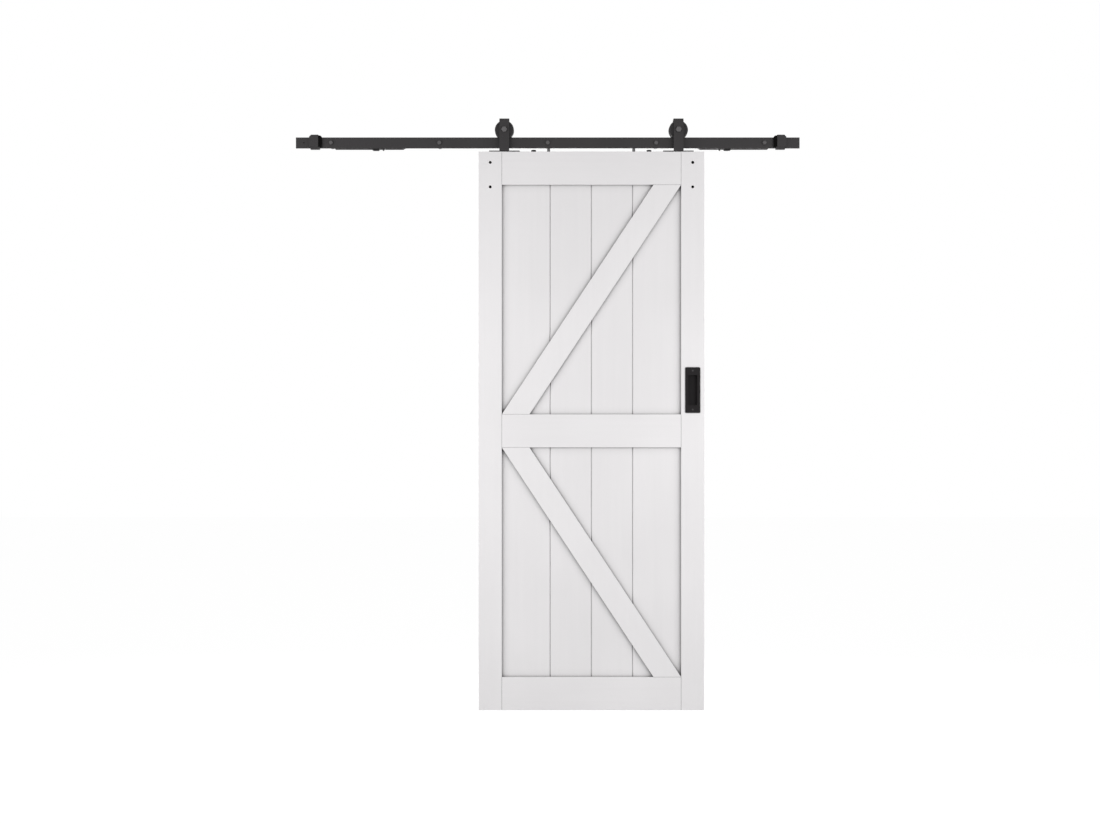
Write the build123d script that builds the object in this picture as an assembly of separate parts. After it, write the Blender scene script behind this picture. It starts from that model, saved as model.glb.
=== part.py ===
"""Sliding barn door with its flat rail, rollers, end stops and soft-close units.

Millimetres. The origin is on the axis of the middle wall bolt, in the wall plane.
+X runs right along the rail, +Y runs into the wall, +Z points up, the front faces -Y.
"""
import os
from math import acos, atan2, cos, hypot, radians, tan

from build123d import *

os.makedirs("parts", exist_ok=True)

# Rail and wall fixings
RAIL_LENGTH = 1860.0
RAIL_HEIGHT = 40.0
RAIL_THICKNESS = 6.0
RAIL_STANDOFF = 33.0
RAIL_EASE = 0.6
BOLT_INSET = 130.0
BOLT_COUNT = 5
BOLT_HOLE_R = 4.5
END_HOLE_INSET = 30.0
END_HOLE_R = 3.25
END_HOLE_DEPTH = 3.0
SPACER_R = 10.0
SPACER_FLANGE_R = 15.0
SPACER_FLANGE_T = 5.0
SPACER_BORE_R = 4.3
SPACER_EASE = 1.0
WASHER_R = 8.5
WASHER_T = 1.6
BOLT_AF = 13.0
BOLT_HEAD_H = 5.5
BOLT_SHANK_R = 3.6
BOLT_THREAD_R = 4.0
BOLT_WALL_DEPTH = 45.0
BOLT_TIP_H = 6.0

# Door leaf
LEAF_REST_X = 161.0
LEAF_WIDTH = 830.0
LEAF_HEIGHT = 2056.0
LEAF_THICKNESS = 38.0
LEAF_DROP = 15.5
STILE_WIDTH = 85.0
RAIL_BOARD_HEIGHT = 122.0
WOOD_EASE = 0.8
RECESS_DEPTH = 10.0
PLANK_THICKNESS = 16.0
PLANK_SEAMS = (-152.0, 0.0, 152.0)
PLANK_GAP = 0.3
VEE_LEG = 2.5
TONGUE_T = 5.0
TONGUE_LENGTH = 6.0
TONGUE_SLACK = 0.2
GROOVE_DEPTH = 10.0
GROOVE_SLACK = 0.1
TENON_LENGTH = 9.0
BRACE_WIDTH = 85.0
STILE_HOLE_R = 5.0
STILE_HOLE_DEPTH = 30.0
STILE_HOLE_DROPS = (40.0, 130.0)
FRAME_SCREW_OFFSET = 35.0
FRAME_SCREW_R = 3.5
FRAME_SCREW_HEAD_R = 5.0
FRAME_SCREW_HEAD_H = 6.0
FRAME_SCREW_LENGTH = 105.0
FRAME_SCREW_SINK = 30.0
FRAME_CAP_R = 6.0
FRAME_CAP_T = 5.0

# Hangers
HANGER_INSET = 94.0
STRAP_WIDTH = 36.0
STRAP_T = 5.0
STRAP_TOP_RISE = 124.0
STRAP_BEND_R = 6.0
STRAP_FOOT_BEND_R = 3.0
STRAP_TAIL_Z = 24.0
FOOT_WIDTH = 113.0
FOOT_SET_BACK = 6.0
FOOT_CORNER_R = 4.0
FOOT_SCREWS = ((32.0, -28.0), (46.0, -44.0))
AXLE_AF = 18.0
AXLE_HEAD_H = 7.5
AXLE_R = 6.0
AXLE_NUT_H = 10.0
AXLE_TAIL = 2.0
BUSHING_R = 9.0
WHEEL_R = 35.0
WHEEL_WIDTH = 24.0
TREAD_R = 26.0
TREAD_WIDTH = 8.4
TREAD_GAP = 0.1
RIM_WIDTH = 5.0
RIM_EASE = 1.0
FACE_RECESS = 2.0
FACE_RECESS_R = (18.0, 29.0)
HUB_BORE_R = 13.0
BEARING_R = 16.0
BEARING_WIDTH = 10.0
BEARING_INNER_R = 9.2
BEARING_SHIELD_GAP = 0.3
BEARING_SHIELD_T = 1.0
BEARING_RACE_R = 12.8

# Hardware on the leaf top
TOP_SCREW_R = 2.25
TOP_SCREW_HEAD_R = 4.5
TOP_SCREW_LENGTH = 30.0
DISC_FROM_HANGER = 108.0
DISC_Y = -38.0
DISC_R = 9.0
DISC_H = 8.0
PIN_FROM_HANGER = 163.4
PIN_Y = -24.0
PIN_R = 5.5
PIN_TOP_Z = -16.0
PIN_STUB_R = 3.0
PLATE_LENGTH = 42.0
PLATE_WIDTH = 14.0
PLATE_T = 2.0
PLATE_SCREW_OFFSET = 15.0
PLATE_SCREW_HEAD_R = 3.6
PLATE_SCREW_R = 1.75

# Flush pull
PULL_HEIGHT_ABOVE_FLOOR_EDGE = 1178.0
PULL_WIDTH = 54.0
PULL_LENGTH = 167.0
PULL_PLATE_T = 2.0
PULL_CORNER_R = 3.0
CUP_WIDTH = 34.0
CUP_LENGTH = 110.0
CUP_DEPTH = 14.0
CUP_WALL = 1.5
CUP_SLACK = 0.3
PULL_SCREW_OFFSET = 71.7
PULL_SCREW_R = 1.75
PULL_SCREW_HEAD_R = 3.5
PULL_SCREW_LENGTH = 18.0

# End stops
STOP_INSET = 50.0
STOP_WIDTH = 33.5
STOP_TOP_Z = 28.5
STOP_BOTTOM_Z = -25.0
STOP_STEP_Z = -16.0
STOP_WALL = 8.0
STOP_CHAMFER = 7.5
STOP_LIP_SHIFT = 5.0
STOP_LIP_SET_BACK = 1.5
STOP_SLACK = 0.2
BUMPER_T = 12.5
BUMPER_TOP_Z = 25.7
BUMPER_BEND_R = 7.0
BUMPER_SIDE_INSET = 0.5
BUMPER_PEG_R = 2.0
BUMPER_PEG_LENGTH = 6.0
BUMPER_PEG_Z = (-8.0, 8.0)
SET_SCREW_R = 3.0
SET_SCREW_OFFSETS = (9.0, 24.0)
SET_SCREW_SOCKET_AF = 3.0
SET_SCREW_SOCKET_DEPTH = 3.0

# Soft-close units
UNIT_INSET = 117.2
LEFT_UNIT_SHIFT = 28.0
UNIT_LENGTH = 278.0
UNIT_DEPTH = 18.0
UNIT_TOP_Z = 7.0
UNIT_BOTTOM_Z = -21.0
UNIT_WALL = 1.5
UNIT_RIB_Z = (-4.0, -2.0)
UNIT_RIB_H = 1.0
UNIT_TAPER_LENGTH = 30.0
UNIT_TAPER_RISE = 13.0
TAIL_LENGTH = 24.5
TAIL_TOP_Z = -12.0
TAIL_PLUG_TOP_Z = -13.0
CAP_LENGTH = 14.0
CAP_PLATE_T = 1.5
CAP_SIDE_GAP = 1.1
INNER_CAP_BOTTOM_Z = -6.0
OUTER_CAP_BOTTOM_Z = -20.0
UNIT_SCREW_R = 2.5
UNIT_SCREW_HOLE_R = 2.6
UNIT_SCREW_HEAD_R = 4.5
UNIT_SCREW_HEAD_H = 3.0
UNIT_SCREW_BITE = 4.3
UNIT_SCREW_HOLE_DEPTH = 4.5
SOCKET_DEPTH = 2.0
NOTCH_SET_BACK = 167.5
NOTCH_HALF = 6.75
NOTCH_ROOF_Z = -15.5
CLAW_OUTER_U = -35.75
CLAW_INNER_U = 17.75
CLAW_BOTTOM_Z = -26.5
CLAW_RAMP_Z = -20.0
CLAW_NOSE_Z = -13.0
CLAW_CROWN_Z = -5.5
CLAW_CROWN_REACH = (4.0, 10.0)
CLAW_HEEL_RISE = 1.0
FINGER_TOE = 2.0
FINGER_PEG_R = 1.5
FINGER_PEG_H = 1.8
CLAW_T = 8.0
CLAW_HOLE_R = 2.1
PIVOT_U = -28.0
PIVOT_Z = -10.0
PIVOT_R = 2.0
SLIDER_U = (-44.0, -8.0)
SLIDER_BACK_WALL = 8.15
SLIDER_SIDE_GAP = 0.6
SLIDER_TOP_GAP = 0.2
SLIDER_BOTTOM_Z = -18.0
SLIDER_ROOF_Z = 0.0
SLIDER_POCKET_SLACK = 0.2
SLIDER_RIB_SLACK = 0.3
DAMPER_Z = -12.0
DAMPER_R = 5.0
DAMPER_BORE_R = 4.0
DAMPER_U = -45.0
DAMPER_SEAT = 6.0
DAMPER_GLAND = 5.0
DAMPER_FLOOR = 4.0
ROD_R = 1.5
ROD_HOLE_R = 1.6
PISTON_R = 3.9
PISTON_U = (-125.0, -120.0)
SPRING_Z = 1.0
SPRING_R = 3.5
SPRING_WIRE = 0.9
SPRING_HOOK_LENGTH = 4.0

# Derived positions
RAIL_BACK = -RAIL_STANDOFF
RAIL_FRONT = RAIL_BACK - RAIL_THICKNESS
RAIL_MID_Y = (RAIL_BACK + RAIL_FRONT) / 2
RAIL_TOP = RAIL_HEIGHT / 2
RAIL_END = RAIL_LENGTH / 2
BOLT_PITCH = (RAIL_LENGTH - 2 * BOLT_INSET) / (BOLT_COUNT - 1)
BOLT_XS = [BOLT_PITCH * (i - (BOLT_COUNT - 1) / 2) for i in range(BOLT_COUNT)]
END_HOLE_X = RAIL_END - END_HOLE_INSET
LEAF_TOP = -RAIL_TOP - LEAF_DROP
LEAF_BOTTOM = LEAF_TOP - LEAF_HEIGHT
LEAF_FRONT = RAIL_MID_Y - LEAF_THICKNESS / 2
LEAF_BACK = RAIL_MID_Y + LEAF_THICKNESS / 2
LEAF_LEFT = LEAF_REST_X - LEAF_WIDTH / 2
LEAF_RIGHT = LEAF_REST_X + LEAF_WIDTH / 2
OPENING_HALF = LEAF_WIDTH / 2 - STILE_WIDTH
OPENING_HEIGHT = (LEAF_HEIGHT - 3 * RAIL_BOARD_HEIGHT) / 2
MID_BOARD_TOP = LEAF_TOP - RAIL_BOARD_HEIGHT - OPENING_HEIGHT
LOW_BOARD_TOP = LEAF_BOTTOM + RAIL_BOARD_HEIGHT
BOARD_TOPS = (LEAF_TOP, MID_BOARD_TOP, LOW_BOARD_TOP)
UPPER_OPENING = (MID_BOARD_TOP, LEAF_TOP - RAIL_BOARD_HEIGHT)
LOWER_OPENING = (LOW_BOARD_TOP, MID_BOARD_TOP - RAIL_BOARD_HEIGHT)
PLANK_FRONT = LEAF_FRONT + RECESS_DEPTH
PLANK_BACK = PLANK_FRONT + PLANK_THICKNESS
AXLE_Z = RAIL_TOP + TREAD_R + TREAD_GAP
STRAP_TOP = LEAF_TOP + STRAP_TOP_RISE
FOOT_TOP = LEAF_TOP + STRAP_T
HANGER_XS = (LEAF_LEFT + HANGER_INSET, LEAF_RIGHT - HANGER_INSET)
DISC_XS = (HANGER_XS[0] + DISC_FROM_HANGER, HANGER_XS[1] - DISC_FROM_HANGER)
PIN_XS = (HANGER_XS[0] + PIN_FROM_HANGER, HANGER_XS[1] - PIN_FROM_HANGER)
PLATE_TOP = LEAF_TOP + PLATE_T
PULL_X = LEAF_RIGHT - STILE_WIDTH / 2
PULL_Z = LEAF_BOTTOM + PULL_HEIGHT_ABOVE_FLOOR_EDGE
STOP_INNER_X = RAIL_END - STOP_INSET - STOP_WIDTH
UNIT_X = (RAIL_END - UNIT_INSET - UNIT_LENGTH, RAIL_END - UNIT_INSET)
NOTCH_X = UNIT_X[1] - NOTCH_SET_BACK
UNIT_BACK = RAIL_BACK + UNIT_DEPTH
UNIT_MID_Y = (RAIL_BACK + UNIT_BACK) / 2
UNIT_INNER_FRONT = RAIL_BACK + UNIT_WALL
UNIT_INNER_BACK = UNIT_BACK - UNIT_WALL
TAIL_X = UNIT_X[1] - TAIL_LENGTH
OUTER_CAP_X = TAIL_X - CAP_LENGTH
UNIT_SCREW_XS = (UNIT_X[0] + CAP_LENGTH / 2, TAIL_X - CAP_LENGTH / 2)
CUT = 1.0

# Hexagonal heads
HEX_CORNER_RATIO = 1 / cos(radians(30))
HEAD_FACE_RATIO = 0.95
HEAD_BEVEL_SLOPE = tan(radians(30))


def block(x0, x1, y0, y1, z0, z1):
    """Box between two opposite corners."""
    centre = Pos((x0 + x1) / 2, (y0 + y1) / 2, (z0 + z1) / 2)
    return centre * Box(x1 - x0, y1 - y0, z1 - z0)


def rod_x(y, z, radius, x0, x1):
    """Round bar along X."""
    return Pos((x0 + x1) / 2, y, z) * Rot(0, 90, 0) * Cylinder(radius, x1 - x0)


def rod_y(x, z, radius, y0, y1):
    """Round bar along Y."""
    return Pos(x, (y0 + y1) / 2, z) * Rot(90, 0, 0) * Cylinder(radius, y1 - y0)


def rod_z(x, y, radius, z0, z1):
    """Round bar along Z."""
    return Pos(x, y, (z0 + z1) / 2) * Cylinder(radius, z1 - z0)


def outline(points):
    """Closed flat shape through the points, wound counter-clockwise."""
    ring = list(points)
    pairs = zip(ring, ring[1:] + ring[:1])
    if sum(a[0] * b[1] - b[0] * a[1] for a, b in pairs) < 0:
        ring.reverse()
    return Polygon(*ring, align=None)


def prism_x(points, x0, x1):
    """Solid with a (y, z) outline between two X positions."""
    return extrude(Plane.YZ.offset(x0) * outline(points), amount=x1 - x0)


def prism_y(points, y0, y1):
    """Solid with an (x, z) outline between two Y positions."""
    return extrude(Plane.XZ.offset(-y1) * outline(points), amount=y1 - y0)


def prism_z(points, z0, z1):
    """Solid with an (x, y) outline between two Z positions."""
    return extrude(Plane.XY.offset(z0) * outline(points), amount=z1 - z0)


def turned_y(profile, x, z):
    """Solid turned about Y from (radius, y) points."""
    return Pos(x, 0, z) * revolve(outline(profile), Axis.Y)


def turned_z(profile, x, y):
    """Solid turned about Z from (radius, z) points."""
    return Pos(x, y, 0) * revolve(Plane.XZ * outline(profile), Axis.Z)


def hexagon_y(x, z, across_flats, y0, y1):
    """Hexagonal bar along Y."""
    shape = RegularPolygon(across_flats / 2, 6, major_radius=False)
    return Pos(x, 0, z) * extrude(Plane.XZ.offset(-y1) * shape, amount=y1 - y0)


def hex_head(x, z, across_flats, y0, y1):
    """Hexagonal head along Y with its front corners bevelled."""
    corner = across_flats / 2 * HEX_CORNER_RATIO
    face = across_flats / 2 * HEAD_FACE_RATIO
    bevel = (corner - face) * HEAD_BEVEL_SLOPE
    profile = [(0, y0), (face, y0), (corner, y0 + bevel), (corner, y1), (0, y1)]
    return hexagon_y(x, z, across_flats, y0, y1) & turned_y(profile, x, z)


def rounded_plate_y(x, z, width, height, corner, y0, y1):
    """Plate with rounded corners facing -Y."""
    shape = RectangleRounded(width, height, corner)
    return Pos(x, 0, z) * extrude(Plane.XZ.offset(-y1) * shape, amount=y1 - y0)


def mirrored(shape, shift=0.0):
    """The same piece for the left end of the rail, moved inward by the shift."""
    return Pos(shift, 0, 0) * mirror(shape, about=Plane.YZ)


def across(u):
    """X on the right-hand unit of a distance measured inward from the claw notch."""
    return NOTCH_X - u


# Rail and wall fixings

def track_rail():
    rail = block(-RAIL_END, RAIL_END, RAIL_FRONT, RAIL_BACK, -RAIL_TOP, RAIL_TOP)
    rail = chamfer(rail.edges().filter_by(Axis.X), RAIL_EASE)
    for x in BOLT_XS:
        rail -= rod_y(x, 0, BOLT_HOLE_R, RAIL_FRONT - CUT, RAIL_BACK + CUT)
    rail -= rod_y(-END_HOLE_X, 0, END_HOLE_R, RAIL_FRONT - CUT, RAIL_FRONT + END_HOLE_DEPTH)
    for x in UNIT_SCREW_XS:
        hole = rod_y(x, 0, UNIT_SCREW_R, RAIL_BACK - UNIT_SCREW_HOLE_DEPTH, RAIL_BACK + CUT)
        rail -= hole
        rail -= mirrored(hole, LEFT_UNIT_SHIFT)
    return rail


def wall_spacer(x):
    profile = [
        (SPACER_BORE_R, RAIL_BACK),
        (SPACER_R - SPACER_EASE, RAIL_BACK),
        (SPACER_R, RAIL_BACK + SPACER_EASE),
        (SPACER_R, -SPACER_FLANGE_T),
        (SPACER_FLANGE_R - SPACER_EASE, -SPACER_FLANGE_T),
        (SPACER_FLANGE_R, -SPACER_FLANGE_T + SPACER_EASE),
        (SPACER_FLANGE_R, 0),
        (SPACER_BORE_R, 0),
    ]
    return turned_y(profile, x, 0)


def wall_washer(x):
    front = RAIL_FRONT - WASHER_T
    return rod_y(x, 0, WASHER_R, front, RAIL_FRONT) - rod_y(
        x, 0, SPACER_BORE_R, front - CUT, RAIL_FRONT + CUT
    )


def wall_bolt(x):
    seat = RAIL_FRONT - WASHER_T
    head = hex_head(x, 0, BOLT_AF, seat - BOLT_HEAD_H, seat)
    shank = [
        (0, seat),
        (BOLT_SHANK_R, seat),
        (BOLT_SHANK_R, 0),
        (BOLT_THREAD_R, 0),
        (BOLT_THREAD_R, BOLT_WALL_DEPTH),
        (0, BOLT_WALL_DEPTH + BOLT_TIP_H),
    ]
    return head + turned_y(shank, x, 0)


# End stops, right-hand ones

def bumper_peg(z, length):
    y = RAIL_FRONT - STOP_WALL / 2
    return rod_x(y, z, BUMPER_PEG_R, STOP_INNER_X - CUT, STOP_INNER_X + length)


def stop_block():
    front = RAIL_FRONT - STOP_WALL
    back = RAIL_BACK + STOP_WALL
    outer_x = STOP_INNER_X + STOP_WIDTH
    body = block(STOP_INNER_X, outer_x, front, back, STOP_STEP_Z, STOP_TOP_Z)
    corner = body.edges().filter_by(Axis.Y).sort_by(Axis.Z)[-2:].sort_by(Axis.X)[-1]
    body = chamfer(corner, STOP_CHAMFER)
    lip = block(
        STOP_INNER_X - STOP_LIP_SHIFT,
        outer_x - STOP_LIP_SHIFT,
        front + STOP_LIP_SET_BACK,
        RAIL_BACK,
        STOP_BOTTOM_Z,
        STOP_STEP_Z,
    )
    body += lip
    body -= block(
        STOP_INNER_X - STOP_LIP_SHIFT - CUT,
        outer_x + CUT,
        RAIL_FRONT,
        RAIL_BACK + STOP_SLACK,
        -RAIL_TOP - STOP_SLACK,
        RAIL_TOP,
    )
    for z in BUMPER_PEG_Z:
        body -= bumper_peg(z, BUMPER_PEG_LENGTH)
    for offset in SET_SCREW_OFFSETS:
        body -= rod_y(STOP_INNER_X + offset, 0, SET_SCREW_R, RAIL_BACK, back + CUT)
    return body


def stop_set_screw(x):
    back = RAIL_BACK + STOP_WALL
    screw = rod_y(x, 0, SET_SCREW_R, RAIL_BACK, back)
    socket_y = back - SET_SCREW_SOCKET_DEPTH
    return screw - hexagon_y(x, 0, SET_SCREW_SOCKET_AF, socket_y, back + CUT)


def stop_bumper():
    front = RAIL_FRONT - STOP_WALL + BUMPER_SIDE_INSET
    back = RAIL_BACK + STOP_WALL - BUMPER_SIDE_INSET
    face_x = STOP_INNER_X - BUMPER_T
    body = block(face_x, STOP_INNER_X, front, back, STOP_STEP_Z, BUMPER_TOP_Z)
    corner = body.edges().filter_by(Axis.Y).sort_by(Axis.Z)[-2:].sort_by(Axis.X)[0]
    body = fillet(corner, BUMPER_BEND_R)
    body -= block(
        face_x - CUT,
        STOP_INNER_X + CUT,
        RAIL_FRONT,
        RAIL_BACK + STOP_SLACK,
        STOP_STEP_Z - CUT,
        RAIL_TOP,
    )
    for z in BUMPER_PEG_Z:
        body += bumper_peg(z, BUMPER_PEG_LENGTH)
    return body


# Soft-close units, right-hand ones, whose tail runs on under the end spacer

def unit_screw_hole(x):
    return rod_y(x, 0, UNIT_SCREW_HOLE_R, RAIL_BACK - CUT, UNIT_BACK + CUT)


def unit_channel():
    low, high = UNIT_BOTTOM_Z, UNIT_TOP_Z
    rib_low, rib_high = UNIT_RIB_Z
    roof = high - UNIT_WALL
    half = [
        (UNIT_DEPTH / 2, low),
        (UNIT_DEPTH / 2 - UNIT_WALL, low),
        (UNIT_DEPTH / 2 - UNIT_WALL, rib_low),
        (UNIT_DEPTH / 2 - UNIT_WALL - UNIT_RIB_H, rib_low),
        (UNIT_DEPTH / 2 - UNIT_WALL - UNIT_RIB_H, rib_high),
        (UNIT_DEPTH / 2 - UNIT_WALL, rib_high),
        (UNIT_DEPTH / 2 - UNIT_WALL, roof),
    ]
    inside = [(UNIT_MID_Y + y, z) for y, z in half]
    other = [(UNIT_MID_Y - y, z) for y, z in reversed(half)]
    top = [(RAIL_BACK, high), (UNIT_BACK, high)]
    channel = prism_x(inside + other + top, *UNIT_X)
    slope = UNIT_TAPER_RISE / UNIT_TAPER_LENGTH
    taper = [
        (UNIT_X[0] - CUT, low - CUT),
        (UNIT_X[0] + UNIT_TAPER_LENGTH + CUT / slope, low - CUT),
        (UNIT_X[0] - CUT, low + UNIT_TAPER_RISE + CUT * slope),
    ]
    channel -= prism_y(taper, RAIL_BACK - CUT, UNIT_BACK + CUT)
    channel -= block(
        TAIL_X, UNIT_X[1] + CUT, RAIL_BACK - CUT, UNIT_BACK + CUT, TAIL_TOP_Z, high + CUT
    )
    for x in UNIT_SCREW_XS:
        channel -= unit_screw_hole(x)
    return channel


def unit_plug(x0, x1, bottom_z, top_z):
    """Part of an end cap that fills the channel."""
    return block(
        x0, x1, UNIT_INNER_FRONT + CAP_SIDE_GAP, UNIT_INNER_BACK - CAP_SIDE_GAP, bottom_z, top_z
    )


def unit_inner_cap():
    edge = UNIT_X[0]
    plate_bottom = UNIT_BOTTOM_Z + UNIT_TAPER_RISE
    cap = unit_plug(edge, edge + CAP_LENGTH, INNER_CAP_BOTTOM_Z, UNIT_TOP_Z - UNIT_WALL)
    cap += block(edge - CAP_PLATE_T, edge, RAIL_BACK, UNIT_BACK, plate_bottom, UNIT_TOP_Z)
    return cap - unit_screw_hole(UNIT_SCREW_XS[0])


def unit_outer_cap():
    edge = UNIT_X[1]
    cap = unit_plug(OUTER_CAP_X, TAIL_X, OUTER_CAP_BOTTOM_Z, UNIT_TOP_Z - UNIT_WALL)
    cap += unit_plug(TAIL_X, edge, OUTER_CAP_BOTTOM_Z, TAIL_PLUG_TOP_Z)
    cap += block(edge, edge + CAP_PLATE_T, RAIL_BACK, UNIT_BACK, UNIT_BOTTOM_Z, TAIL_TOP_Z)
    cap -= rod_x(UNIT_MID_Y, DAMPER_Z, DAMPER_R, OUTER_CAP_X - CUT, OUTER_CAP_X + DAMPER_SEAT)
    cap -= rod_x(
        UNIT_MID_Y, SPRING_Z, SPRING_WIRE / 2, OUTER_CAP_X - CUT, OUTER_CAP_X + SPRING_HOOK_LENGTH
    )
    return cap - unit_screw_hole(UNIT_SCREW_XS[1])


def unit_screw(x):
    tip = RAIL_BACK - UNIT_SCREW_BITE
    shank = rod_y(x, 0, UNIT_SCREW_R, tip, UNIT_BACK + CUT)
    head = rod_y(x, 0, UNIT_SCREW_HEAD_R, UNIT_BACK, UNIT_BACK + UNIT_SCREW_HEAD_H)
    socket_y = UNIT_BACK + UNIT_SCREW_HEAD_H - SOCKET_DEPTH
    socket = hexagon_y(x, 0, SET_SCREW_SOCKET_AF, socket_y, socket_y + SOCKET_DEPTH + CUT)
    return shank + head - socket


def damper_cylinder():
    mouth = across(DAMPER_U)
    end = OUTER_CAP_X + DAMPER_SEAT
    barrel = rod_x(UNIT_MID_Y, DAMPER_Z, DAMPER_R, mouth, end)
    barrel -= rod_x(
        UNIT_MID_Y, DAMPER_Z, DAMPER_BORE_R, mouth + DAMPER_GLAND, end - DAMPER_FLOOR
    )
    return barrel - rod_x(
        UNIT_MID_Y, DAMPER_Z, ROD_HOLE_R, mouth - CUT, mouth + DAMPER_GLAND + CUT
    )


def damper_rod():
    slider_end = across(SLIDER_U[0] + SLIDER_BACK_WALL)
    rod = rod_x(UNIT_MID_Y, DAMPER_Z, ROD_R, slider_end, across(PISTON_U[0]))
    return rod + rod_x(
        UNIT_MID_Y, DAMPER_Z, PISTON_R, across(PISTON_U[1]), across(PISTON_U[0])
    )


def slider():
    front = UNIT_INNER_FRONT + SLIDER_SIDE_GAP
    back = UNIT_INNER_BACK - SLIDER_SIDE_GAP
    top = UNIT_TOP_Z - UNIT_WALL - SLIDER_TOP_GAP
    outer_x = across(SLIDER_U[0])
    inner_x = across(SLIDER_U[1])
    body = block(inner_x, outer_x, front, back, SLIDER_BOTTOM_Z, top)
    pocket_half = CLAW_T / 2 + SLIDER_POCKET_SLACK
    body -= block(
        inner_x - CUT,
        outer_x - SLIDER_BACK_WALL,
        UNIT_MID_Y - pocket_half,
        UNIT_MID_Y + pocket_half,
        SLIDER_BOTTOM_Z - CUT,
        SLIDER_ROOF_Z,
    )
    rib_z = (UNIT_RIB_Z[0] - SLIDER_RIB_SLACK, UNIT_RIB_Z[1] + SLIDER_RIB_SLACK)
    body -= block(inner_x - CUT, outer_x + CUT, front - CUT, front + UNIT_RIB_H, *rib_z)
    body -= block(inner_x - CUT, outer_x + CUT, back - UNIT_RIB_H, back + CUT, *rib_z)
    body += claw_pivot()
    body -= rod_x(
        UNIT_MID_Y, DAMPER_Z, ROD_R, outer_x - SLIDER_BACK_WALL - CUT, outer_x + CUT
    )
    return body - rod_x(
        UNIT_MID_Y, SPRING_Z, SPRING_WIRE / 2, outer_x - SPRING_HOOK_LENGTH, outer_x + CUT
    )


def claw_pivot():
    """Stub moulded between the cheeks of the slider."""
    front = UNIT_INNER_FRONT + SLIDER_SIDE_GAP
    back = UNIT_INNER_BACK - SLIDER_SIDE_GAP
    return rod_y(across(PIVOT_U), PIVOT_Z, PIVOT_R, front, back)


def finger_peg():
    x = across((NOTCH_HALF + CLAW_INNER_U) / 2)
    return rod_z(x, UNIT_MID_Y, FINGER_PEG_R, NOTCH_ROOF_Z - CUT, NOTCH_ROOF_Z + FINGER_PEG_H)


def claw():
    """Claw with its wide outer prong and the roof of the notch."""
    crown_out, crown_in = CLAW_CROWN_REACH
    points = [
        (CLAW_OUTER_U, CLAW_RAMP_Z),
        (PIVOT_U, CLAW_BOTTOM_Z),
        (-NOTCH_HALF, CLAW_BOTTOM_Z),
        (-NOTCH_HALF, NOTCH_ROOF_Z),
        (CLAW_INNER_U, NOTCH_ROOF_Z),
        (CLAW_INNER_U, CLAW_NOSE_Z),
        (PIVOT_U + crown_in, CLAW_CROWN_Z),
        (PIVOT_U - crown_out, CLAW_CROWN_Z),
        (CLAW_OUTER_U, PIVOT_Z + CLAW_HEEL_RISE),
    ]
    shape = [(across(u), z) for u, z in points]
    body = prism_y(shape, UNIT_MID_Y - CLAW_T / 2, UNIT_MID_Y + CLAW_T / 2)
    body -= rod_y(across(PIVOT_U), PIVOT_Z, CLAW_HOLE_R, RAIL_BACK, UNIT_BACK)
    return body - finger_peg()


def claw_finger():
    """Springy inner prong with its ramp and the peg that holds it in the claw."""
    points = [
        (NOTCH_HALF, NOTCH_ROOF_Z),
        (NOTCH_HALF, CLAW_BOTTOM_Z),
        (NOTCH_HALF + FINGER_TOE, CLAW_BOTTOM_Z),
        (CLAW_INNER_U, CLAW_RAMP_Z),
        (CLAW_INNER_U, NOTCH_ROOF_Z),
    ]
    shape = [(across(u), z) for u, z in points]
    return prism_y(shape, UNIT_MID_Y - CLAW_T / 2, UNIT_MID_Y + CLAW_T / 2) + finger_peg()


def unit_spring():
    """Close-wound spring as a tube, with a straight tail at each end."""
    slider_end = across(SLIDER_U[0])
    bore = SPRING_R - SPRING_WIRE
    spring = rod_x(UNIT_MID_Y, SPRING_Z, SPRING_R, slider_end, OUTER_CAP_X)
    spring -= rod_x(UNIT_MID_Y, SPRING_Z, bore, slider_end - CUT, OUTER_CAP_X + CUT)
    wire = SPRING_WIRE / 2
    ring_z = SPRING_Z + SPRING_R - wire
    for end, outward in ((slider_end, -1), (OUTER_CAP_X, 1)):
        spoke_x = end - outward * wire
        spring += rod_z(spoke_x, UNIT_MID_Y, wire, SPRING_Z, ring_z)
        tail = sorted((spoke_x, end + outward * SPRING_HOOK_LENGTH))
        spring += rod_x(UNIT_MID_Y, SPRING_Z, wire, *tail)
    return spring


# Door leaf

def frame_screw_zs():
    mids = [top - RAIL_BOARD_HEIGHT / 2 for top in BOARD_TOPS]
    return [mid + offset for mid in mids for offset in (FRAME_SCREW_OFFSET, -FRAME_SCREW_OFFSET)]


def edge_span(side, near, far):
    """X range between two depths measured in from a long edge of the leaf."""
    edge = LEAF_RIGHT if side > 0 else LEAF_LEFT
    return sorted((edge - side * near, edge - side * far))


def frame_screw(side, z):
    head_end = FRAME_SCREW_SINK - FRAME_SCREW_HEAD_H
    head = rod_x(
        RAIL_MID_Y, z, FRAME_SCREW_HEAD_R, *edge_span(side, head_end, FRAME_SCREW_SINK)
    )
    length_end = FRAME_SCREW_SINK + FRAME_SCREW_LENGTH
    return head + rod_x(RAIL_MID_Y, z, FRAME_SCREW_R, *edge_span(side, head_end, length_end))


def frame_screw_cap(side, z):
    return rod_x(RAIL_MID_Y, z, FRAME_CAP_R, *edge_span(side, 0, FRAME_CAP_T))


def frame_screw_hole(side, z):
    """Counterbore and shank hole for one frame screw."""
    bore = rod_x(RAIL_MID_Y, z, FRAME_CAP_R, *edge_span(side, -CUT, FRAME_SCREW_SINK))
    length_end = FRAME_SCREW_SINK + FRAME_SCREW_LENGTH
    return bore + rod_x(
        RAIL_MID_Y, z, FRAME_SCREW_R, *edge_span(side, 0, length_end)
    )


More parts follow.
